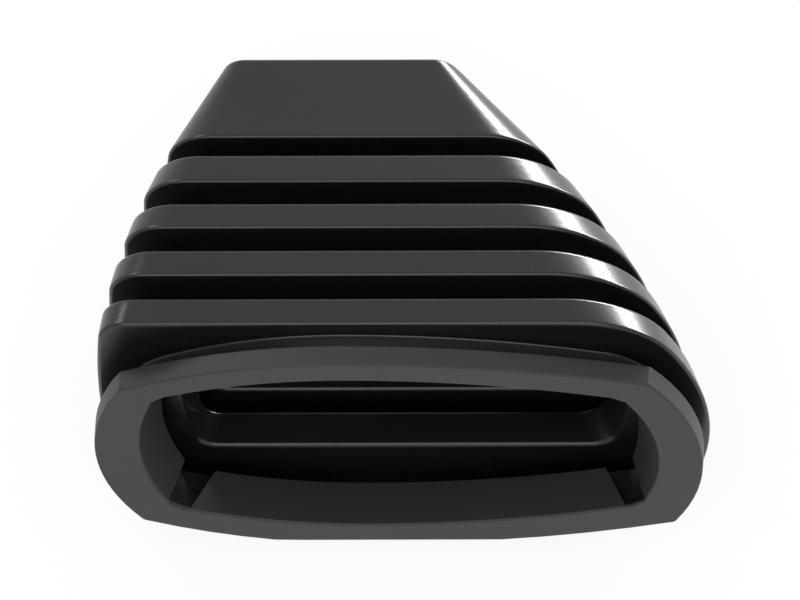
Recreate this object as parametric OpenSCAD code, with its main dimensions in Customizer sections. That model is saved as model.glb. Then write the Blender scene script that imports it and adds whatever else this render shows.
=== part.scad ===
// Rubber bellows boot for a lever that passes through a panel.
// A thick lip plate with a neck behind it holds the boot in the panel,
// four deep ribs fold with the lever, and a tapered sleeve grips the lever.
// Sizes are in millimetres. The boot is drawn along +Y, lip first, with its
// broad sides up and down, then leaned so that it lies on its lower ribs.

/* [Lip plate] */
// thickness of the lip plate
lip_t = 4.6; // [3.6:0.1:5.6]
// height of the lip from crown to crown before its foot is made flat
lip_h = 71.6; // [60:0.2:86]
// how far the lip sits below the middle of the bellows
lip_drop = 0.6; // [0:0.1:1]
// how much the flat foot takes off the lower crown of the lip
lip_flat = 1.6; // [0.8:0.1:2.4]
// reach of the lip from the crown to its left end
lip_left = 52; // [44:0.2:62]
// reach of the lip from the crown to its right end
lip_right = 70; // [58:0.2:84]
// how far the left end of the lip bulges past its corners
lip_bulge_left = 7.2; // [5:0.2:9]
// how far the right end of the lip bulges past its corners
lip_bulge_right = 8; // [6:0.2:10]
// how far the left corners of the lip fall back from its crowns
lip_fall_left = 9.9; // [8:0.1:12]
// how far the right corners of the lip fall back from its crowns
lip_fall_right = 8.5; // [7:0.1:10]

/* [Neck behind the lip] */
// length of the neck between the lip and the first rib
neck_len = 4; // [3:0.1:6]
// step from the lip down to the neck along the long sides
neck_side_step = 2.6; // [1.8:0.1:3.2]
// step from the lip down to the neck at both ends
neck_end_step = 5; // [4:0.1:6]
// length of the blend on the corners of the neck
neck_blend = 4; // [2:0.2:6]

/* [Passage through the lip] */
// wall of the neck over the crown of the passage at the lip
wall_side = 3.8; // [3:0.1:5]
// wall of the neck at the left end of the passage at the lip
wall_left = 4; // [3.2:0.1:6]
// wall of the neck at the right end of the passage at the lip
wall_right = 3.6; // [3.2:0.1:6]
// how much less the ends of the passage bulge than those of the lip
passage_less_bulge = 2.4; // [1.6:0.1:3]
// how far the left corners of the passage fall back from its crowns
passage_fall_left = 7.4; // [6.4:0.1:9]
// how far the right corners of the passage fall back from its crowns
passage_fall_right = 7.8; // [6.4:0.1:9]
// length of the flats across the corners of the passage at the lip
passage_flat_front = 3; // [1:0.2:4]
// length of the flats across the corners of the passage at the first rib
passage_flat_rear = 5.4; // [2:0.2:6]
// part of that length that the flats take from the ends of the passage
passage_flat_part = 0.6; // [0.4:0.05:0.8]
// how much lower the crown of the passage gets on its way through
passage_draft_side = 0.8; // [0.2:0.1:1.2]
// how much closer the left end of the passage gets on its way through
passage_draft_left = 4.2; // [1:0.1:5]
// how much closer the right end of the passage gets on its way through
passage_draft_right = 5; // [1:0.1:6]
// how much of that draft the corners of the passage take
passage_draft_corner = 3; // [1:0.1:4]

/* [Bellows] */
// distance from one rib to the next
rib_pitch = 12; // [10:0.1:14.4]
// width of the first three ribs over their tops
rib_w = 6.5; // [5.4:0.1:7.4]
// width of the last rib over its top
last_rib_w = 7.3; // [5.4:0.1:7.8]
// depth of the grooves between the ribs
groove_depth = 14; // [9:0.5:17]
// thickness of the folding walls
bellows_wall = 1; // [0.8:0.1:1.4]
// length of the sleeve behind the last groove
sleeve_len = 20.8; // [14:0.2:28]
// thickness of the sleeve wall
sleeve_wall = 1.4; // [1:0.1:2]

/* [Outline of the first rib] */
// step from the neck up to the first rib along the long sides
rib_step_side = 4.1; // [3:0.1:6]
// step from the neck out to the left end of the first rib
rib_step_left = 4.1; // [3:0.1:6]
// step from the neck out to the right end of the first rib
rib_step_right = 6.2; // [4:0.1:8]
// length of the rounded left end of the first rib
front_end_left = 8.2; // [7:0.2:12]
// length of the rounded right end of the first rib
front_end_right = 22.8; // [18:0.2:28]
// corner radius at the left end of the first rib
front_round_left = 6.1; // [5:0.1:7.5]
// corner radius at the right end of the first rib
front_round_right = 19.2; // [12:0.2:22]

/* [Outline at the foot of the sleeve] */
// height of the boot where the sleeve starts
sleeve_h = 57; // [52:0.2:62]
// reach from the crown to the left end where the sleeve starts
sleeve_left = 40.4; // [37:0.2:43]
// reach from the crown to the right end where the sleeve starts
sleeve_right = 41.4; // [38:0.2:46]
// length of the rounded left end where the sleeve starts
sleeve_end_left = 11.4; // [8:0.2:15]
// length of the rounded right end where the sleeve starts
sleeve_end_right = 15.4; // [12:0.2:20]
// corner radius at the left end where the sleeve starts
sleeve_round_left = 9.8; // [6:0.2:12]
// corner radius at the right end where the sleeve starts
sleeve_round_right = 13.2; // [8:0.2:15]

/* [Outline at the mouth of the sleeve] */
// height of the sleeve at its mouth
mouth_h = 48; // [42:0.2:54]
// reach from the crown to the left end of the mouth
mouth_left = 29.4; // [26:0.2:34]
// reach from the crown to the right end of the mouth
mouth_right = 23; // [18:0.2:28]
// length of the rounded left end of the mouth
mouth_end_left = 5.8; // [5:0.2:10]
// length of the rounded right end of the mouth
mouth_end_right = 9; // [5:0.2:10]
// corner radius at the left end of the mouth
mouth_round_left = 4.2; // [3:0.1:6]
// corner radius at the right end of the mouth
mouth_round_right = 4.2; // [3:0.1:6]

/* [Belly of the bellows between the first rib and the sleeve] */
// how far the broad sides of the bellows belly out on the way
belly_side = 1.2; // [0.4:0.1:1.6]
// how far the left end of the bellows bellies out on the way
belly_left = 0.9; // [0:0.1:1.5]
// how far the right end of the bellows bellies out on the way
belly_right = 2.6; // [1:0.1:5]
// how much longer the rounded right end gets on the way
belly_end_right = 4; // [0:0.1:5]
// how much larger the corner radius at the left end gets on the way
belly_round_left = 0.8; // [0:0.1:1.2]
// how much larger the corner radius at the right end gets on the way
belly_round_right = 5; // [0:0.2:6]

/* [Edges] */
// radius of the outer edges of the ribs and the sleeve
edge_r = 0.8; // [0.5:0.05:1]
// radius at the foot of the grooves
groove_r = 0.5; // [0.3:0.05:0.8]
// radius of the inner ridges behind the grooves
ridge_r = 0.8; // [0.5:0.05:1]
// size of the bevel in the inner corners behind the ribs
inner_bevel = 0.4; // [0.2:0.05:0.6]

/* [Smoothness] */
// steps round each corner of an outline
corner_steps = 6; // [4:1:7]
// steps round each half end of an outline
side_steps = 4; // [2:1:5]
// steps round an outer edge of a rib
edge_steps = 3; // [2:1:3]

/* [Hidden] */
rubber = [0.09, 0.09, 0.1];
$fn = 96;

// positions along the boot
bellows_y = lip_t + neck_len;
rib_count = 4;
sleeve_y = bellows_y + rib_count * rib_pitch;
mouth_y = sleeve_y + sleeve_len;
function rib_front(k) = bellows_y + k * rib_pitch;
function rib_back(k) = rib_front(k) + (k == rib_count - 1 ? last_rib_w : rib_w);

// the lip has a flat foot, the neck is a step inside the lip and holds the
// passage, and the first rib is a step outside the neck
lip_foot = lip_h / 2 + lip_drop - lip_flat;
neck_top = lip_h / 2 - lip_drop - neck_side_step;
neck_left = lip_left - neck_end_step;
neck_right = lip_right - neck_end_step;
passage_top = neck_top - wall_side;
passage_left = neck_left - wall_left;
passage_right = neck_right - wall_right;
passage_bulge_left = lip_bulge_left - passage_less_bulge;
passage_bulge_right = lip_bulge_right - passage_less_bulge;

// outlines of the boot as half height, left reach, right reach,
// left end length, right end length, left corner radius, right corner radius
front = [neck_top + rib_step_side, neck_left + rib_step_left, neck_right + rib_step_right,
    front_end_left, front_end_right, front_round_left, front_round_right];
sleeve = [sleeve_h / 2, sleeve_left, sleeve_right, sleeve_end_left, sleeve_end_right,
    sleeve_round_left, sleeve_round_right];
mouth = [mouth_h / 2, mouth_left, mouth_right, mouth_end_left, mouth_end_right,
    mouth_round_left, mouth_round_right];
belly = [belly_side, belly_left, belly_right, 0, belly_end_right,
    belly_round_left, belly_round_right];

// smallest end length and corner radius of an outline that is drawn far inside
least_end = 5;
least_round = 4;
// largest corner radius as a part of the end length
round_part = 0.92;

function on_bellows(y) = (y - bellows_y) / (sleeve_y - bellows_y);
function on_sleeve(y) = (y - sleeve_y) / (mouth_y - sleeve_y);
function between(a, b, t) = a + (b - a) * t;
function sizes(y) = y < sleeve_y
    ? let (t = on_bellows(y)) between(front, sleeve, t) + belly * 4 * t * (1 - t)
    : between(sleeve, mouth, on_sleeve(y));

// half of a rounded end: corner arc, then a flatter arc tangent to it
function half_end(h, w, r) =
    let (big = (w * w + (h - r) * (h - r) - r * r) / (2 * (w - r)))
    let (meet = atan2(h - r, big - w))
    concat(
        [for (i = [0:corner_steps])
            let (a = between(90, meet, i / corner_steps))
            [r * cos(a), h - r + r * sin(a)]],
        [for (i = [1:side_steps])
            let (a = between(meet, 0, i / side_steps))
            [w - big + big * cos(a), big * sin(a)]]);

// closed outline of the boot at y, drawn inside its skin by the inset
function outline(y, inset) =
    let (s = sizes(y), h = s[0] - inset, left = s[1] - inset, right = s[2] - inset)
    let (wl = max(s[3] - inset, least_end), wr = max(s[4] - inset, least_end))
    let (rl = min(max(s[5] - inset, least_round), round_part * wl))
    let (rr = min(max(s[6] - inset, least_round), round_part * wr))
    let (l = half_end(h, wl, rl), r = half_end(h, wr, rr), n = len(l))
    concat(
        [for (i = [0:1:n - 1]) [right - wr + r[i][0], r[i][1]]],
        [for (i = [n - 2:-1:0]) [right - wr + r[i][0], -r[i][1]]],
        [for (i = [0:1:n - 1]) [wl - left - l[i][0], -l[i][1]]],
        [for (i = [n - 2:-1:0]) [wl - left - l[i][0], l[i][1]]]);

// quarter rounds of the profile as [y, inset], listed towards the mouth
function round_up(y, r) = [for (i = [0:edge_steps])
    let (a = 90 * i / edge_steps) [y + r * (1 - cos(a)), r * (1 - sin(a))]];
function round_down(y, r) = [for (i = [0:edge_steps])
    let (a = 90 * i / edge_steps) [y - r * (1 - sin(a)), r * (1 - cos(a))]];
function foot_before(y) = [for (a = [0, 45, 90])
    [y - groove_r * (1 - sin(a)), groove_depth - groove_r * (1 - cos(a))]];
function foot_after(y) = [for (a = [0, 45, 90])
    [y + groove_r * (1 - cos(a)), groove_depth - groove_r * (1 - sin(a))]];

// the front wall of the first rib reaches inwards past the corners of the passage
hole_margin = 1.5;
hole_inset = hole_margin + max(
    front[0] - passage_top + max(passage_fall_left, passage_fall_right),
    front[1] - passage_left + passage_bulge_left + passage_draft_corner,
    front[2] - passage_right + passage_bulge_right + passage_draft_corner);
ridge_inset = groove_depth + bellows_wall;

outer_skin = concat(
    [[bellows_y, hole_inset]],
    [for (k = [0:rib_count - 1]) each concat(
        k == 0 ? [] : foot_before(rib_front(k)),
        round_up(rib_front(k), edge_r),
        round_down(rib_back(k), edge_r),
        foot_after(rib_back(k)))],
    foot_before(sleeve_y),
    round_up(sleeve_y, edge_r),
    round_down(mouth_y, edge_r));

mouth_rim = [
    [mouth_y, sleeve_wall - inner_bevel / 2],
    [mouth_y - inner_bevel / 2, sleeve_wall]];

// a ridge runs round the inside behind each groove
function ridge(k) =
    let (a = rib_back(k) - bellows_wall, b = rib_front(k + 1) + bellows_wall)
    concat(
        [for (c = [90, 45, 0])
            [b - ridge_r * (1 - sin(c)), ridge_inset - ridge_r * (1 - cos(c))]],
        [for (c = [90, 45, 0])
            [a + ridge_r * (1 - cos(c)), ridge_inset - ridge_r * (1 - sin(c))]]);

// the inside of a rib is a plain channel with bevelled corners
function channel(k) =
    let (a = rib_front(k) + bellows_wall, b = rib_back(k) - bellows_wall)
    [
        [b, bellows_wall + inner_bevel],
        [b - inner_bevel, bellows_wall],
        [a + inner_bevel, bellows_wall],
        [a, bellows_wall + inner_bevel]];

inner_skin = concat(
    [[sleeve_y + bellows_wall + inner_bevel, sleeve_wall],
        [sleeve_y + bellows_wall, sleeve_wall + inner_bevel]],
    [for (k = [rib_count - 1:-1:0]) each concat(ridge(k), channel(k))],
    [[bellows_y + bellows_wall, hole_inset]]);

profile = concat(outer_skin, mouth_rim, inner_skin);

// steps along half a bowed side, round a blended corner and along half an end
bow_steps = 8;
blend_steps = 4;
end_steps = 5;

// radius of an arc with its crown at [0, h] that passes through [x, z]
function crown_r(h, x, z) = (x * x + (h - z) * (h - z)) / (2 * (h - z));
// radius of an end arc that bulges by b between corners at z and -z
function end_r(b, z) = (b * b + z * z) / (2 * b);

// quarter of a bowed outline from the crown round the corner to the middle of the
// end; one step makes a flat across the corner, more steps round it
function bowed_quarter(h, x, z, b, blend, end_blend, steps) =
    let (rc = crown_r(h, x, z), re = end_r(b, z))
    let (side = [for (i = [0:bow_steps])
        let (at = (x - blend) * i / bow_steps) [at, h - rc + sqrt(rc * rc - at * at)]])
    let (end = [for (i = [0:end_steps])
        let (at = (z - end_blend) * (1 - i / end_steps))
        [x + b - re + sqrt(re * re - at * at), at]])
    let (from = side[bow_steps], to = end[0])
    concat(side,
        [for (i = [1:1:steps - 1])
            let (t = i / steps)
            (1 - t) * (1 - t) * from + 2 * t * (1 - t) * [x, z] + t * t * to],
        end);

// closed bowed outline from its right and left quarters
function bowed(r, l) = let (n = len(r)) concat(
    [for (i = [0:1:n - 1]) r[i]],
    [for (i = [n - 2:-1:0]) [r[i][0], -r[i][1]]],
    [for (i = [1:1:n - 1]) [-l[i][0], -l[i][1]]],
    [for (i = [n - 2:-1:1]) [-l[i][0], l[i][1]]]);

// the neck follows the lip, a step inside it
function neck_quarter(reach, bulge, fall) = bowed_quarter(
    lip_h / 2 - neck_side_step, reach - bulge, lip_h / 2 - neck_side_step - fall, bulge,
    neck_blend, neck_blend, blend_steps);
neck_outline = bowed(
    neck_quarter(neck_right, lip_bulge_right, lip_fall_right),
    neck_quarter(neck_left, lip_bulge_left, lip_fall_left));

// the passage narrows from the lip to the inside of the first rib
passage_len = bellows_y + bellows_wall;
passage_past = 0.6;
least_bulge = 0.5;
function passage_quarter(t, reach, bulge, fall, draft) =
    let (flat = between(passage_flat_front, passage_flat_rear, t))
    bowed_quarter(
        passage_top - passage_draft_side * t,
        reach - bulge - passage_draft_corner * t,
        passage_top - fall,
        max(bulge - (draft - passage_draft_corner) * t, least_bulge),
        flat, flat * passage_flat_part, 1);
function passage_outline(y) = let (t = y / passage_len) bowed(
    passage_quarter(t, passage_right, passage_bulge_right, passage_fall_right,
        passage_draft_right),
    passage_quarter(t, passage_left, passage_bulge_left, passage_fall_left,
        passage_draft_left));

// the boot leans back until it lies on the two ribs under its centre of mass
rest_front = rib_back(1);
rest_back = rib_front(2);
lean = atan((sizes(rest_front)[0] - sizes(rest_back)[0]) / (rest_back - rest_front));
lift = max(lip_t * sin(lean) + lip_foot * cos(lean), max([for (p = profile)
    p[0] * sin(lean) + (sizes(p[0])[0] - p[1]) * cos(lean)]));
reach_back = max([for (p = profile)
    p[0] * cos(lean) + (sizes(p[0])[0] - p[1]) * sin(lean)]);
reach_front = lip_foot * sin(lean);
reach_left = max(lip_left, max([for (p = profile) sizes(p[0])[1] - p[1]]));
reach_right = max(lip_right, max([for (p = profile) sizes(p[0])[2] - p[1]]));

module as_it_lies() {
    translate([(reach_left - reach_right) / 2, (reach_front - reach_back) / 2, lift])
        rotate([-lean, 0, 0])
            children();
}

// one end of the lip plate, cut from the arcs of its long sides and its end
module lip_end(reach, bulge, fall) {
    corner = lip_h / 2 - fall;
    side_r = crown_r(lip_h / 2, reach - bulge, corner);
    tip_r = end_r(bulge, corner);
    intersection() {
        translate([0, -lip_h])
            square([reach + 1, 2 * lip_h]);
        translate([0, lip_h / 2 - side_r])
            circle(side_r, $fn = 720);
        translate([0, side_r - lip_h / 2])
            circle(side_r, $fn = 720);
        translate([reach - tip_r, 0])
            circle(tip_r, $fn = 360);
    }
}

// an outline set low as the lip is, with its foot cut flat a step above the lip's
module low_on_foot(step) {
    intersection() {
        translate([0, -lip_drop])
            children();
        translate([-lip_left - 1, step - lip_foot])
            square([lip_left + lip_right + 2, 2 * lip_h]);
    }
}

// flat outlines are drawn in X and Y and stood up along the boot
module along_boot(y, len) {
    translate([0, y + len, 0])
        rotate([90, 0, 0])
            linear_extrude(len)
                children();
}

module lip_plate() {
    along_boot(0, lip_t)
        low_on_foot(0)
            union() {
                lip_end(lip_right, lip_bulge_right, lip_fall_right);
                mirror([1, 0])
                    lip_end(lip_left, lip_bulge_left, lip_fall_left);
            }
}

// the neck starts inside the lip plate and ends inside the first wall
module neck() {
    along_boot(lip_t / 2, lip_t / 2 + neck_len + bellows_wall / 2)
        low_on_foot(neck_side_step)
            polygon(neck_outline);
}

// rings of points joined into one closed skin that runs out over the ribs,
// round the rim of the mouth and back through the inside
module bellows() {
    rings = [for (p = profile) outline(p[0], p[1])];
    n = len(rings[0]);
    count = len(profile);
    points = [for (i = [0:count - 1]) each
        [for (q = rings[i]) [q[0], profile[i][0], q[1]]]];
    faces = [for (i = [0:count - 1]) each [for (j = [0:n - 1]) each
        let (i2 = (i + 1) % count, j2 = (j + 1) % n)
        [[i * n + j, i2 * n + j, i2 * n + j2], [i * n + j, i2 * n + j2, i * n + j2]]]];
    polyhedron(points, faces, convexity = 12);
}

module passage() {
    from = -passage_past;
    to = passage_len + passage_past;
    a = passage_outline(from);
    b = passage_outline(to);
    n = len(a);
    points = concat([for (q = a) [q[0], from, q[1]]], [for (q = b) [q[0], to, q[1]]]);
    sides = [for (j = [0:n - 1]) each
        let (j2 = (j + 1) % n) [[j, n + j, n + j2], [j, n + j2, j2]]];
    caps = [[for (j = [0:n - 1]) j], [for (j = [n - 1:-1:0]) n + j]];
    polyhedron(points, concat(sides, caps), convexity = 4);
}

module bellows_boot() {
    color(rubber)
        as_it_lies()
            difference() {
                union() {
                    lip_plate();
                    neck();
                    bellows();
                }
                passage();
            }
}

bellows_boot();
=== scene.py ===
from math import atan2, cos, pi, radians, sin, sqrt

import bmesh
import bpy
from mathutils import Matrix, Vector


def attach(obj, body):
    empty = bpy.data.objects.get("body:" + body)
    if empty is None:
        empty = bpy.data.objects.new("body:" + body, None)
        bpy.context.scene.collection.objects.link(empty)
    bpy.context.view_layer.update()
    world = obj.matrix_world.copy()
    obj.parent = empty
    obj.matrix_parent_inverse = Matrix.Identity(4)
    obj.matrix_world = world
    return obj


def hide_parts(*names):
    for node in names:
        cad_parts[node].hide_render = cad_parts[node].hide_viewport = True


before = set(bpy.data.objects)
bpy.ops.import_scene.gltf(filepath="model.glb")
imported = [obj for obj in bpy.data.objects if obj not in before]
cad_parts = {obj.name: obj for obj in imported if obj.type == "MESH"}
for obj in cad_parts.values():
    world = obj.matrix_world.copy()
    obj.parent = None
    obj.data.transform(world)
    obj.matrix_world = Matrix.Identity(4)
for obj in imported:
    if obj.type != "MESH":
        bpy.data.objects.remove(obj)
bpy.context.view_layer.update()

# The looks of a moulded rubber bellows boot. The boot is drawn in millimetres
# along +Y, lip first, then leaned back on its ribs as the part's source does.

MM = 0.001

# lip plate and neck: the lip's thickness and its outline, with half its height, the
# reach of its ends, how far they bulge and half the height of their corners
LIP_T = 4.6
LIP = dict(h=35.8, left=52.0, right=70.0, bulge_left=7.2, bulge_right=8.0,
           corner_left=25.9, corner_right=27.3)
# how far the lip and the neck sit below the middle, and where their foot is flat
LIP_DROP = 0.6
LIP_FOOT = 34.8
# how far the neck's sides and ends lie inside the lip's, and its length
NECK_SIDE = 2.6
NECK_END = 5.0
NECK_LEN = 4.0
# how far from the corner their rounding starts, on both sides of it
LIP_BLEND = 0.4
NECK_BLEND = 4.0

# outline of the passage through the lip, given in the same way, and how much its
# side, its ends and the corners of its drafted walls have closed in at its rear
PASSAGE = dict(h=28.8, left=43.0, right=61.4, bulge_left=4.8, bulge_right=5.6,
               corner_left=21.4, corner_right=21.0)
DRAFT = dict(side=0.8, left=4.2, right=5.0, corner=3.0)
# reliefs in its corners: how far from the corner its long side stops, at the front
# and at the rear, and the share of that for its end
GAPS = (3.0, 4.8)
GAP_PART = 0.6
# where they start behind the lip's face, how deep they are before and behind that,
# and how far from the corner they are cut across
RELIEF_Y = 0.75
RELIEF_FLUSH = 0.05
RELIEF_DEEP = 1.1
CUT = 2.1

# bellows and sleeve along the boot, how deep the grooves lie, and the walls
BELLOWS_Y = LIP_T + NECK_LEN
PITCH = 12.0
RIB_W = 6.5
LAST_RIB_W = 7.3
RIBS = 4
SLEEVE_Y = BELLOWS_Y + RIBS * PITCH
SLEEVE_LEN = 20.8
MOUTH_Y = SLEEVE_Y + SLEEVE_LEN
GROOVE = 14.0
WALL = 1.0
SLEEVE_WALL = 1.4
RIDGE = GROOVE + WALL
# where the walls of the passage end, at the back of the first rib's front wall
REAR_Y = BELLOWS_Y + WALL

# outlines: half height, left and right reach, lengths of the rounded ends,
# corner radii at the left and at the right
FIRST_RIB = (36.7, 51.1, 71.2, 8.2, 22.8, 6.1, 19.2)
SLEEVE_FOOT = (28.5, 40.4, 41.4, 11.4, 15.4, 9.8, 13.2)
MOUTH = (24.0, 29.4, 23.0, 5.8, 9.0, 4.2, 4.2)
# what the sizes half way along the bellows have over a straight line between them
BELLY = (1.2, 0.9, 2.6, 0.0, 4.0, 0.8, 5.0)
# least length and corner radius of an inner end, and the most of its length that
# the corner takes
LEAST_END = 5.0
LEAST_CORNER = 4.0
CORNER_PART = 0.92

# radii of the moulded edges, and the bevel on the inner edges of the walls
EDGE_R = 0.8
FOOT_R = 0.5
RIDGE_R = 0.8
LIP_EDGE_R = 0.3
NECK_FOOT_R = 0.5
PASSAGE_EDGE_R = 0.4
PASSAGE_REAR_R = 0.4
BEVEL = 0.4
# distance from a rounded edge to the loop that keeps the flat beside it flat
HOLD = 0.18

# points of a quarter outline: along the side, round the corner, along the end
SIDE_N, CORNER_N, END_N = 7, 12, 9
# steps over the rounded edges, and stretches of the sleeve's length
EDGE_N = 6
RIDGE_N = 5
FOOT_N = 3
LIP_EDGE_N = 3
PASSAGE_EDGE_N = 4
SLEEVE_N = 4
# points closer than this become one
MERGE = 0.0001
# faces that meet at more than this are drawn with a sharp edge, and at less already
# where the edge runs along the boot for more than THROUGH, as it does in the passage
SHARP = radians(38)
SHARP_IN_PASSAGE = radians(10)
THROUGH = 0.8 * BELLOWS_Y

# rubber: the satin of the ribs and the matt of the lip, with the satin's roughness,
# what patches and the matt add to it, and the noises, whose scale is for a metre
# the darker satin black also stands in the passage's corner reliefs as painted shade
SATIN_BLACK = (0.006, 0.006, 0.0065, 1.0)
MATT_BLACK = (0.016, 0.016, 0.0165, 1.0)
RUBBER_IOR = 1.5
SATIN_ROUGH = 0.24
PATCH_ROUGH = 0.07
MATT_ROUGH = 0.25
PATCHES = dict(Scale=60.0, Detail=4.0)
GRAIN = dict(Scale=900.0, Detail=3.0)
# strength of the grain, and its depth in metres
GRAIN_STRENGTH = 0.12
GRAIN_DEPTH = 0.0002
# the reliefs are left out of the matt, so they take the darker satin black as painted shade
# where the reliefs lie: middle and range of the reach from the passage's middle at
# the lip's face, what it closes in for each millimetre, and of the height
RELIEF_MID = 8.8
RELIEF_REACH = (47.5, 3.5)
RELIEF_CLOSES = 0.5
RELIEF_HEIGHT = (22.0, 3.0)
# how far out the passage's walls lie from that middle, how far over its sides still
# counts as wall, and how fast the sides fall with the square of the place across
WALLS_REACH = 54.0
WALLS_OVER = 1.2
FALL_LEFT = 0.0049
FALL_RIGHT = 0.0025
# how far past a face its finish reaches
MARGIN = 0.1

# floor: half its width, its own grey, and the part of it that is seen as white
FLOOR_HALF = 3.0
FLOOR_GREY = (0.9, 0.9, 0.9, 1.0)
FLOOR_ROUGH = 0.9
FLOOR_WHITE = 0.88
# strength of the world, as a light and as the camera sees it
WORLD_LIGHT = 0.8
WORLD_SEEN = 1.0
# lamps in metres and watts, all turned to the middle of the boot
LAMPS = dict(
    low_back=dict(at=(0.19, 0.34, 0.027), size=(0.3, 0.052), power=3.0),
    back_left=dict(at=(-0.46, 0.5, 0.5), size=(0.2, 0.12), power=1.1),
    over_front=dict(at=(0.0, -0.75, 1.2), size=(1.2, 1.0), power=7.0))
LAMPS_AIM = (0.0, 0.0, 0.03)

# camera: its right, the way from the boot back to it, and the place on the boot
# that it looks at in millimetres, then the width of its view and its reach in metres
VIEW_RIGHT = (0.994, 0.0364, -0.1020)
VIEW_BACK = (0.1083, -0.3555, 0.9282)
VIEW_AIM = (-0.17, -8.35, 48.5)
VIEW_WIDTH = 0.16
VIEW_REACH = 5.0


def mix(a, b, t):
    return a + (b - a) * t


def sizes(y):
    """Sizes of the outline at a place along the bellows or the sleeve."""
    if y < SLEEVE_Y:
        t = (y - BELLOWS_Y) / (SLEEVE_Y - BELLOWS_Y)
        return [mix(a, b, t) + belly * 4 * t * (1 - t)
                for a, b, belly in zip(FIRST_RIB, SLEEVE_FOOT, BELLY)]
    t = (y - SLEEVE_Y) / SLEEVE_LEN
    return [mix(a, b, t) for a, b in zip(SLEEVE_FOOT, MOUTH)]


def rounded_quarter(h, reach, end, radius):
    """Quarter of a rib's outline: flat side, corner arc, flatter end arc.

    big is the radius of the end arc, and meet the angle at which it takes over.
    """
    big = (end ** 2 + (h - radius) ** 2 - radius ** 2) / (2 * (end - radius))
    meet = atan2(h - radius, big - end)
    flat = reach - end
    points = [(flat * i / SIDE_N, h) for i in range(SIDE_N)]
    for i in range(CORNER_N):
        a = mix(pi / 2, meet, i / CORNER_N)
        points.append((flat + radius * cos(a), h - radius + radius * sin(a)))
    for i in range(END_N + 1):
        a = mix(meet, 0, i / END_N)
        points.append((reach - big + big * cos(a), big * sin(a)))
    return points


def on_side(h, x, corner, at):
    """Point of a crowned side that ends in the corner at (x, corner)."""
    r = (x * x + (h - corner) ** 2) / (2 * (h - corner))
    return at, h - r + sqrt(r * r - at * at)


def on_end(reach, bulge, corner, at):
    """Point of a bulging end that starts in the corner at (reach - bulge, corner)."""
    r = (bulge ** 2 + corner ** 2) / (2 * bulge)
    return reach - r + sqrt(r * r - at * at), at


def bowed_quarter(h, reach, bulge, corner, blend):
    """Quarter of a bowed outline: crowned side, small corner, bulging end."""
    x = reach - bulge
    start = Vector(on_side(h, x, corner, x - blend))
    turn = Vector((x, corner))
    stop = Vector(on_end(reach, bulge, corner, corner - blend))
    points = [on_side(h, x, corner, (x - blend) * i / SIDE_N) for i in range(SIDE_N)]
    for i in range(CORNER_N):
        t = i / CORNER_N
        points.append(tuple((1 - t) ** 2 * start + 2 * t * (1 - t) * turn + t * t * stop))
    points += [on_end(reach, bulge, corner, (corner - blend) * (1 - i / END_N))
               for i in range(END_N + 1)]
    return points


def passage_quarter(t, end, grow, drafted, deep):
    """Quarter of the passage: its side and its end close in, its corner does not.

    t runs from 0 at the lip's face to 1 at the rear, grow is how far a rounded edge
    has widened the passage, from which the reliefs' edges draw back, and deep is how
    deep the relief in the corner is.
    """
    h = PASSAGE["h"] + grow
    reach = PASSAGE[end] + grow
    bulge = PASSAGE["bulge_" + end]
    corner = PASSAGE["corner_" + end] + grow
    x = reach - bulge
    gap = mix(*GAPS, t)
    side_stops = x - DRAFT["corner"] * t - gap - 2 * grow
    end_starts = corner - gap * GAP_PART - 2 * grow
    closes = t if drafted else 0
    side_h = h - DRAFT["side"] * closes
    side_x = x - DRAFT["corner"] * closes
    end_bulge = bulge - (DRAFT[end] - DRAFT["corner"]) * closes
    points = [on_side(side_h, side_x, corner, side_stops * i / SIDE_N)
              for i in range(SIDE_N + 1)]
    above = CORNER_N // 2
    below = CORNER_N - above - 1
    for i in range(above):
        at, z = on_side(h, x, corner, mix(side_stops, x - CUT, i / (above - 1)))
        points.append((at, z + deep))
    for i in range(below):
        at = mix(corner - CUT * GAP_PART, end_starts, i / (below - 1))
        points.append((on_end(reach, bulge, corner, at)[0] + deep, at))
    points += [on_end(side_x + end_bulge, end_bulge, corner, end_starts * (1 - i / END_N))
               for i in range(END_N + 1)]
    return points


def closed(right, left):
    """Closed outline from its right and left quarters, the same above and below."""
    return (right
            + [(x, -z) for x, z in right[-2::-1]]
            + [(-x, -z) for x, z in left[1:]]
            + [(-x, z) for x, z in left[-2:0:-1]])


def rib_ring(y, inset):
    """Outline of the bellows or the sleeve, or one that lies inside it."""
    h, left, right, end_left, end_right, round_left, round_right = sizes(y)
    quarters = []
    for reach, end, radius in ((right, end_right, round_right), (left, end_left, round_left)):
        end = max(end - inset, LEAST_END)
        radius = min(max(radius - inset, LEAST_CORNER), CORNER_PART * end)
        quarters.append(rounded_quarter(h - inset, reach - inset, end, radius))
    return y, closed(*quarters)


def bowed_ring(y, side_in, end_in, blend):
    """Outline inside the lip's: it sits a little low and its foot is flat."""
    quarters = [
        bowed_quarter(LIP["h"] - side_in, LIP[end] - end_in, LIP["bulge_" + end],
                      LIP["corner_" + end] - side_in, blend)
        for end in ("right", "left")]
    foot = LIP_FOOT - side_in
    return y, [(x, max(z - LIP_DROP, -foot)) for x, z in closed(*quarters)]


def lip_ring(y, inset):
    """Outline of the lip plate, or one that lies inside it."""
    return bowed_ring(y, inset, inset, LIP_BLEND)


def neck_ring(y, inset):
    """Outline of the neck, or with an inset below 0 one that lies outside it."""
    return bowed_ring(y, NECK_SIDE + inset, NECK_END + inset, NECK_BLEND)


def passage_ring(y, grow, drafted=True, deep=RELIEF_DEEP):
    """Outline of the passage, with its walls drafted or as wide as at the front."""
    t = y / REAR_Y
    return y, closed(*(passage_quarter(t, end, grow, drafted, deep)
                       for end in ("right", "left")))


def rounding(radius, steps):
    """How far along the boot and how far in each step over a rounded edge lies."""
    turns = [pi / 2 * i / steps for i in range(steps + 1)]
    return [(radius * (1 - cos(a)), radius * (1 - sin(a))) for a in turns]


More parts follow.
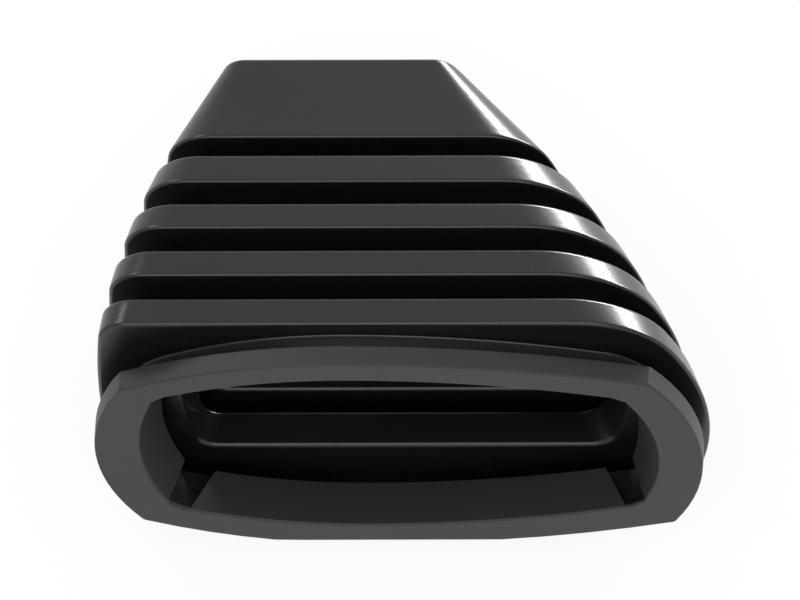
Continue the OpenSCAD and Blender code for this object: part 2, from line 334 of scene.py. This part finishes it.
def rounding_back(radius, steps):
    """The same steps from the last to the first."""
    return rounding(radius, steps)[::-1]


def passage_front():
    """Rings from the reliefs out to the passage's rounded edge on the lip's face."""
    r = PASSAGE_EDGE_R
    rings = [passage_ring(RELIEF_Y, 0.0)]
    rings.append(passage_ring(RELIEF_Y, 0.0, deep=RELIEF_FLUSH))
    rings.append(passage_ring(r + HOLD, 0.0, deep=RELIEF_FLUSH))
    rings += [passage_ring(y, grow, deep=RELIEF_FLUSH)
              for y, grow in rounding_back(r, PASSAGE_EDGE_N)]
    rings.append(passage_ring(0.0, r + HOLD, deep=RELIEF_FLUSH))
    return rings


def lip_outside():
    """Rings over the rim of the lip plate, from its face to its back."""
    r = LIP_EDGE_R
    rings = [lip_ring(0.0, r + HOLD)]
    rings += [lip_ring(y, inset) for y, inset in rounding(r, LIP_EDGE_N)]
    rings.append(lip_ring(r + HOLD, 0.0))
    rings.append(lip_ring(LIP_T - r - HOLD, 0.0))
    rings += [lip_ring(LIP_T - y, inset) for y, inset in rounding_back(r, LIP_EDGE_N)]
    rings.append(lip_ring(LIP_T, r + HOLD))
    return rings


def neck_outside():
    """Rings along the neck, which ends in a rounded foot on the lip and on the rib."""
    rings = [neck_ring(LIP_T + y, -rise) for y, rise in rounding(NECK_FOOT_R, FOOT_N)]
    rings += [neck_ring(BELLOWS_Y - y, -rise)
              for y, rise in rounding_back(NECK_FOOT_R, FOOT_N)]
    return rings


def rib_walls(k):
    """Where the front wall and the back wall of a rib lie along the boot."""
    front = BELLOWS_Y + k * PITCH
    width = LAST_RIB_W if k == RIBS - 1 else RIB_W
    return front, front + width


def foot_before(y):
    """Rings over the rounded foot of a groove, in front of the wall at y."""
    return [rib_ring(y - along, GROOVE - rise)
            for along, rise in rounding_back(FOOT_R, FOOT_N)]


def outer_band(front, back, between=()):
    """Rings over a rib or the sleeve, with its rounded front and back edges."""
    r = EDGE_R
    rings = [rib_ring(front, r + HOLD)]
    rings += [rib_ring(front + along, inset) for along, inset in rounding(r, EDGE_N)]
    rings.append(rib_ring(front + r + HOLD, 0.0))
    rings += [rib_ring(y, 0.0) for y in between]
    rings.append(rib_ring(back - r - HOLD, 0.0))
    rings += [rib_ring(back - along, inset) for along, inset in rounding_back(r, EDGE_N)]
    return rings


def rib_outside(k):
    """Rings over one rib, from the foot of its front wall to the groove behind it."""
    front, back = rib_walls(k)
    rings = foot_before(front) if k else []
    rings += outer_band(front, back)
    rings.append(rib_ring(back, EDGE_R + HOLD))
    rings += [rib_ring(back + along, GROOVE - rise) for along, rise in rounding(FOOT_R, FOOT_N)]
    return rings


def sleeve_outside():
    """Rings over the sleeve, from the foot of its front wall to the rim of the mouth."""
    between = [mix(SLEEVE_Y, MOUTH_Y, i / SLEEVE_N) for i in range(1, SLEEVE_N)]
    return foot_before(SLEEVE_Y) + outer_band(SLEEVE_Y, MOUTH_Y, between)


def sleeve_inside():
    """Rings from the rim of the mouth to the inner edge of the sleeve's front wall."""
    rim = BEVEL / 2
    foot = SLEEVE_Y + WALL
    return [rib_ring(MOUTH_Y, SLEEVE_WALL - rim), rib_ring(MOUTH_Y - rim, SLEEVE_WALL),
            rib_ring(foot + BEVEL, SLEEVE_WALL), rib_ring(foot, SLEEVE_WALL + BEVEL)]


def rib_inside(k):
    """Rings over the ridge behind a rib, then along the hollow inside the rib."""
    front, back = rib_walls(k)
    ridge_back = front + PITCH + WALL
    ridge_front = back - WALL
    r = RIDGE_R
    rings = [rib_ring(ridge_back, RIDGE - r - HOLD)]
    rings += [rib_ring(ridge_back - along, RIDGE - drop) for along, drop in rounding(r, RIDGE_N)]
    rings += [rib_ring(ridge_front + along, RIDGE - drop)
              for along, drop in rounding_back(r, RIDGE_N)]
    rings.append(rib_ring(ridge_front, RIDGE - r - HOLD))
    rings.append(rib_ring(ridge_front, WALL + BEVEL))
    rings.append(rib_ring(ridge_front - BEVEL, WALL))
    rings.append(rib_ring(front + WALL + BEVEL, WALL))
    rings.append(rib_ring(front + WALL, WALL + BEVEL))
    return rings


def passage_rear():
    """Rings over the passage's rounded rear edge, in to its drafted walls."""
    r = PASSAGE_REAR_R
    rings = [passage_ring(REAR_Y, r + 2 * HOLD, drafted=False)]
    rings.append(passage_ring(REAR_Y, r + HOLD))
    rings += [passage_ring(REAR_Y - along, grow) for along, grow in rounding(r, EDGE_N)]
    return rings


def boot_rings():
    """All rings in turn: over the lip, back along the outside, forward on the inside."""
    rings = passage_front() + lip_outside() + neck_outside()
    for k in range(RIBS):
        rings += rib_outside(k)
    rings += sleeve_outside() + sleeve_inside()
    for k in reversed(range(RIBS)):
        rings += rib_inside(k)
    return rings + passage_rear()


def skin(bm, rings):
    """Extrudes the first ring through all the others and back onto itself."""
    y, outline = rings[0]
    verts = [bm.verts.new((x, y, z)) for x, z in outline]
    edges = [bm.edges.new(pair) for pair in zip(verts, verts[1:] + verts[:1])]
    for y, outline in rings[1:] + rings[:1]:
        made = bmesh.ops.extrude_edge_only(bm, edges=edges)["geom"]
        fresh = {v for v in made if isinstance(v, bmesh.types.BMVert)}
        # the new points, in the order of the points that they were drawn from
        verts = [next(e.other_vert(v) for e in v.link_edges if e.other_vert(v) in fresh)
                 for v in verts]
        edges = [e for e in made if isinstance(e, bmesh.types.BMEdge)
                 and all(v in fresh for v in e.verts)]
        for v, (x, z) in zip(verts, outline):
            v.co = x, y, z
    bmesh.ops.remove_doubles(bm, verts=bm.verts[:], dist=MERGE)
    bmesh.ops.recalc_face_normals(bm, faces=bm.faces[:])


def mark_sharp_edges(bm):
    """Draws an edge sharp where its two faces meet at more than the limit."""
    for edge in bm.edges:
        along = abs(edge.verts[0].co.y - edge.verts[1].co.y)
        limit = SHARP_IN_PASSAGE if along > THROUGH else SHARP
        edge.smooth = edge.calc_face_angle(0) < limit


def lean():
    """How far the boot leans back to lie on the two ribs under its weight."""
    second_back = rib_walls(1)[1]
    third_front = rib_walls(2)[0]
    drop = sizes(second_back)[0] - sizes(third_front)[0]
    return atan2(drop, third_front - second_back)


def as_it_lies(mesh):
    """Leans a mesh drawn along the boot and puts it where the CAD part lies."""
    mesh.transform(Matrix.Rotation(-lean(), 4, "X") @ Matrix.Scale(MM, 4))
    low = [min(v.co[i] for v in mesh.vertices) for i in range(3)]
    high = [max(v.co[i] for v in mesh.vertices) for i in range(3)]
    shift = Vector((-(low[0] + high[0]) / 2, -(low[1] + high[1]) / 2, -low[2]))
    mesh.transform(Matrix.Translation(shift))
    return shift


def make_boot():
    """The boot as one closed skin, and how far it was shifted to where it lies."""
    bm = bmesh.new()
    skin(bm, boot_rings())
    mark_sharp_edges(bm)
    mesh = bpy.data.meshes.new("boot")
    bm.to_mesh(mesh)
    bm.free()
    shift = as_it_lies(mesh)
    mesh.shade_smooth()
    boot = bpy.data.objects.new("moulded_boot", mesh)
    bpy.context.scene.collection.objects.link(boot)
    return boot, shift


def calculator(nodes, links):
    """Gives a function that adds a maths node and returns its output."""
    def calc(operation, *values):
        node = nodes.new("ShaderNodeMath")
        node.operation = operation
        for slot, value in zip(node.inputs, values):
            if isinstance(value, (int, float)):
                slot.default_value = value
            else:
                links.new(value, slot)
        return node.outputs["Value"]
    return calc


def place_on_boot(nodes, links, place, shift):
    """Millimetres across, along and up the boot as it was drawn."""
    drawn = nodes.new("ShaderNodeMapping")
    drawn.vector_type = "TEXTURE"
    drawn.inputs["Location"].default_value = shift
    drawn.inputs["Rotation"].default_value = (-lean(), 0, 0)
    drawn.inputs["Scale"].default_value = (MM, MM, MM)
    links.new(place, drawn.inputs["Vector"])
    parts = nodes.new("ShaderNodeSeparateXYZ")
    links.new(drawn.outputs["Vector"], parts.inputs["Vector"])
    return [parts.outputs[axis] for axis in "XYZ"]


def matt_part_and_relief_shade(calc, x, y, z):
    """1 on the lip and the walls of the passage, 0 elsewhere, and 0 in the reliefs, which then
    take the darker satin black as painted shade.
    """
    height = calc("ABSOLUTE", z)
    reach = calc("ABSOLUTE", calc("SUBTRACT", x, RELIEF_MID))
    reach = calc("MULTIPLY_ADD", y, RELIEF_CLOSES, reach)
    # the reliefs are cut out of the matt, so that their darker satin black paints the shade of
    # the recess
    relief = calc("MULTIPLY", calc("COMPARE", reach, *RELIEF_REACH),
                  calc("COMPARE", height, *RELIEF_HEIGHT))
    relief = calc("MULTIPLY", relief, calc("GREATER_THAN", y, RELIEF_Y + MARGIN))
    fall = calc("MULTIPLY_ADD", calc("LESS_THAN", x, 0), FALL_LEFT - FALL_RIGHT, FALL_RIGHT)
    fall = calc("MULTIPLY", calc("MULTIPLY", x, x), fall)
    under = calc("LESS_THAN", calc("ADD", height, fall), PASSAGE["h"] + WALLS_OVER)
    walls = calc("MULTIPLY", under, calc("LESS_THAN", reach, WALLS_REACH))
    walls = calc("MULTIPLY", walls, calc("LESS_THAN", y, REAR_Y + MARGIN))
    lip = calc("LESS_THAN", y, LIP_T + MARGIN)
    return calc("MULTIPLY", calc("MAXIMUM", walls, lip), calc("SUBTRACT", 1, relief))


def noise(nodes, links, place, pattern):
    """Adds a noise of the given scale and detail and returns its value."""
    texture = nodes.new("ShaderNodeTexNoise")
    for name, value in pattern.items():
        texture.inputs[name].default_value = value
    links.new(place, texture.inputs["Vector"])
    return texture.outputs["Fac"]


def rubber(shift):
    """Black moulded rubber, satin on the ribs and matt on the lip, with the darker satin black
    painted as shade in the passage's corner reliefs.
    """
    mat = bpy.data.materials.new("black_rubber")
    mat.use_nodes = True
    nodes, links = mat.node_tree.nodes, mat.node_tree.links
    calc = calculator(nodes, links)
    shader = nodes["Principled BSDF"]
    shader.inputs["IOR"].default_value = RUBBER_IOR
    place = nodes.new("ShaderNodeTexCoord").outputs["Object"]
    # matt is 1 on the lip and the passage's walls, and 0 in the reliefs, whose darker satin
    # black is painted shade
    matt = matt_part_and_relief_shade(calc, *place_on_boot(nodes, links, place, shift))
    colour = nodes.new("ShaderNodeMix")
    colour.data_type = "RGBA"
    colour.inputs["A"].default_value = SATIN_BLACK
    colour.inputs["B"].default_value = MATT_BLACK
    links.new(matt, colour.inputs["Factor"])
    links.new(colour.outputs["Result"], shader.inputs["Base Color"])
    patches = noise(nodes, links, place, PATCHES)
    satin = calc("MULTIPLY_ADD", patches, PATCH_ROUGH, SATIN_ROUGH)
    links.new(calc("MULTIPLY_ADD", matt, MATT_ROUGH, satin), shader.inputs["Roughness"])
    bump = nodes.new("ShaderNodeBump")
    bump.inputs["Strength"].default_value = GRAIN_STRENGTH
    bump.inputs["Distance"].default_value = GRAIN_DEPTH
    links.new(noise(nodes, links, place, GRAIN), bump.inputs["Height"])
    links.new(bump.outputs["Normal"], shader.inputs["Normal"])
    return mat


def pale_floor():
    """A pale floor that keeps the boot's shadow and is otherwise seen as white."""
    mat = bpy.data.materials.new("pale_floor")
    mat.use_nodes = True
    nodes, links = mat.node_tree.nodes, mat.node_tree.links
    calc = calculator(nodes, links)
    shader = nodes["Principled BSDF"]
    shader.inputs["Base Color"].default_value = FLOOR_GREY
    shader.inputs["Roughness"].default_value = FLOOR_ROUGH
    white = nodes.new("ShaderNodeEmission")
    white.inputs["Strength"].default_value = 1.0
    ray = nodes.new("ShaderNodeLightPath").outputs
    seen = calc("MAXIMUM", ray["Is Camera Ray"], ray["Is Glossy Ray"])
    both = nodes.new("ShaderNodeMixShader")
    part, lit, flat = both.inputs
    links.new(calc("MULTIPLY", FLOOR_WHITE, seen), part)
    links.new(shader.outputs["BSDF"], lit)
    links.new(white.outputs["Emission"], flat)
    links.new(both.outputs["Shader"], nodes["Material Output"].inputs["Surface"])
    return mat


def floor():
    bm = bmesh.new()
    bmesh.ops.create_grid(bm, x_segments=1, y_segments=1, size=FLOOR_HALF)
    mesh = bpy.data.meshes.new("floor")
    bm.to_mesh(mesh)
    bm.free()
    mesh.materials.append(pale_floor())
    obj = bpy.data.objects.new("floor", mesh)
    bpy.context.scene.collection.objects.link(obj)


def lamp(name, at, size, power):
    """Soft rectangular lamp, turned to the middle of the boot."""
    data = bpy.data.lights.new(name, "AREA")
    data.shape = "RECTANGLE"
    data.size, data.size_y = size
    data.energy = power
    obj = bpy.data.objects.new(name, data)
    obj.location = at
    way = Vector(LAMPS_AIM) - Vector(at)
    obj.rotation_euler = way.to_track_quat("-Z", "Y").to_euler()
    bpy.context.scene.collection.objects.link(obj)


def studio():
    """White world and soft lamps at a plain level."""
    world = bpy.data.worlds.new("studio")
    bpy.context.scene.world = world
    world.use_nodes = True
    nodes, links = world.node_tree.nodes, world.node_tree.links
    back = nodes["Background"]
    back.inputs["Color"].default_value = (1, 1, 1, 1)
    seen = nodes.new("ShaderNodeLightPath").outputs["Is Camera Ray"]
    calc = calculator(nodes, links)
    links.new(calc("MULTIPLY_ADD", seen, WORLD_SEEN - WORLD_LIGHT, WORLD_LIGHT),
              back.inputs["Strength"])
    for name, values in LAMPS.items():
        lamp(name, **values)


def camera():
    """Looks at the boot from above its lip, as the photograph does."""
    right = Vector(VIEW_RIGHT).normalized()
    back = Vector(VIEW_BACK).normalized()
    up = back.cross(right).normalized()
    right = up.cross(back)
    turn = Matrix((right, up, back)).transposed().to_4x4()
    data = bpy.data.cameras.new("camera")
    data.type = "ORTHO"
    data.ortho_scale = VIEW_WIDTH
    data.clip_end = VIEW_REACH
    cam = bpy.data.objects.new("camera", data)
    cam.matrix_world = Matrix.Translation(Vector(VIEW_AIM) * MM + back) @ turn
    bpy.context.scene.collection.objects.link(cam)
    bpy.context.scene.camera = cam


camera()
studio()
floor()
boot, shift = make_boot()
boot.data.materials.append(rubber(shift))
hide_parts("bellows_boot")
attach(boot, "root")
bpy.context.scene.view_settings.view_transform = "Standard"
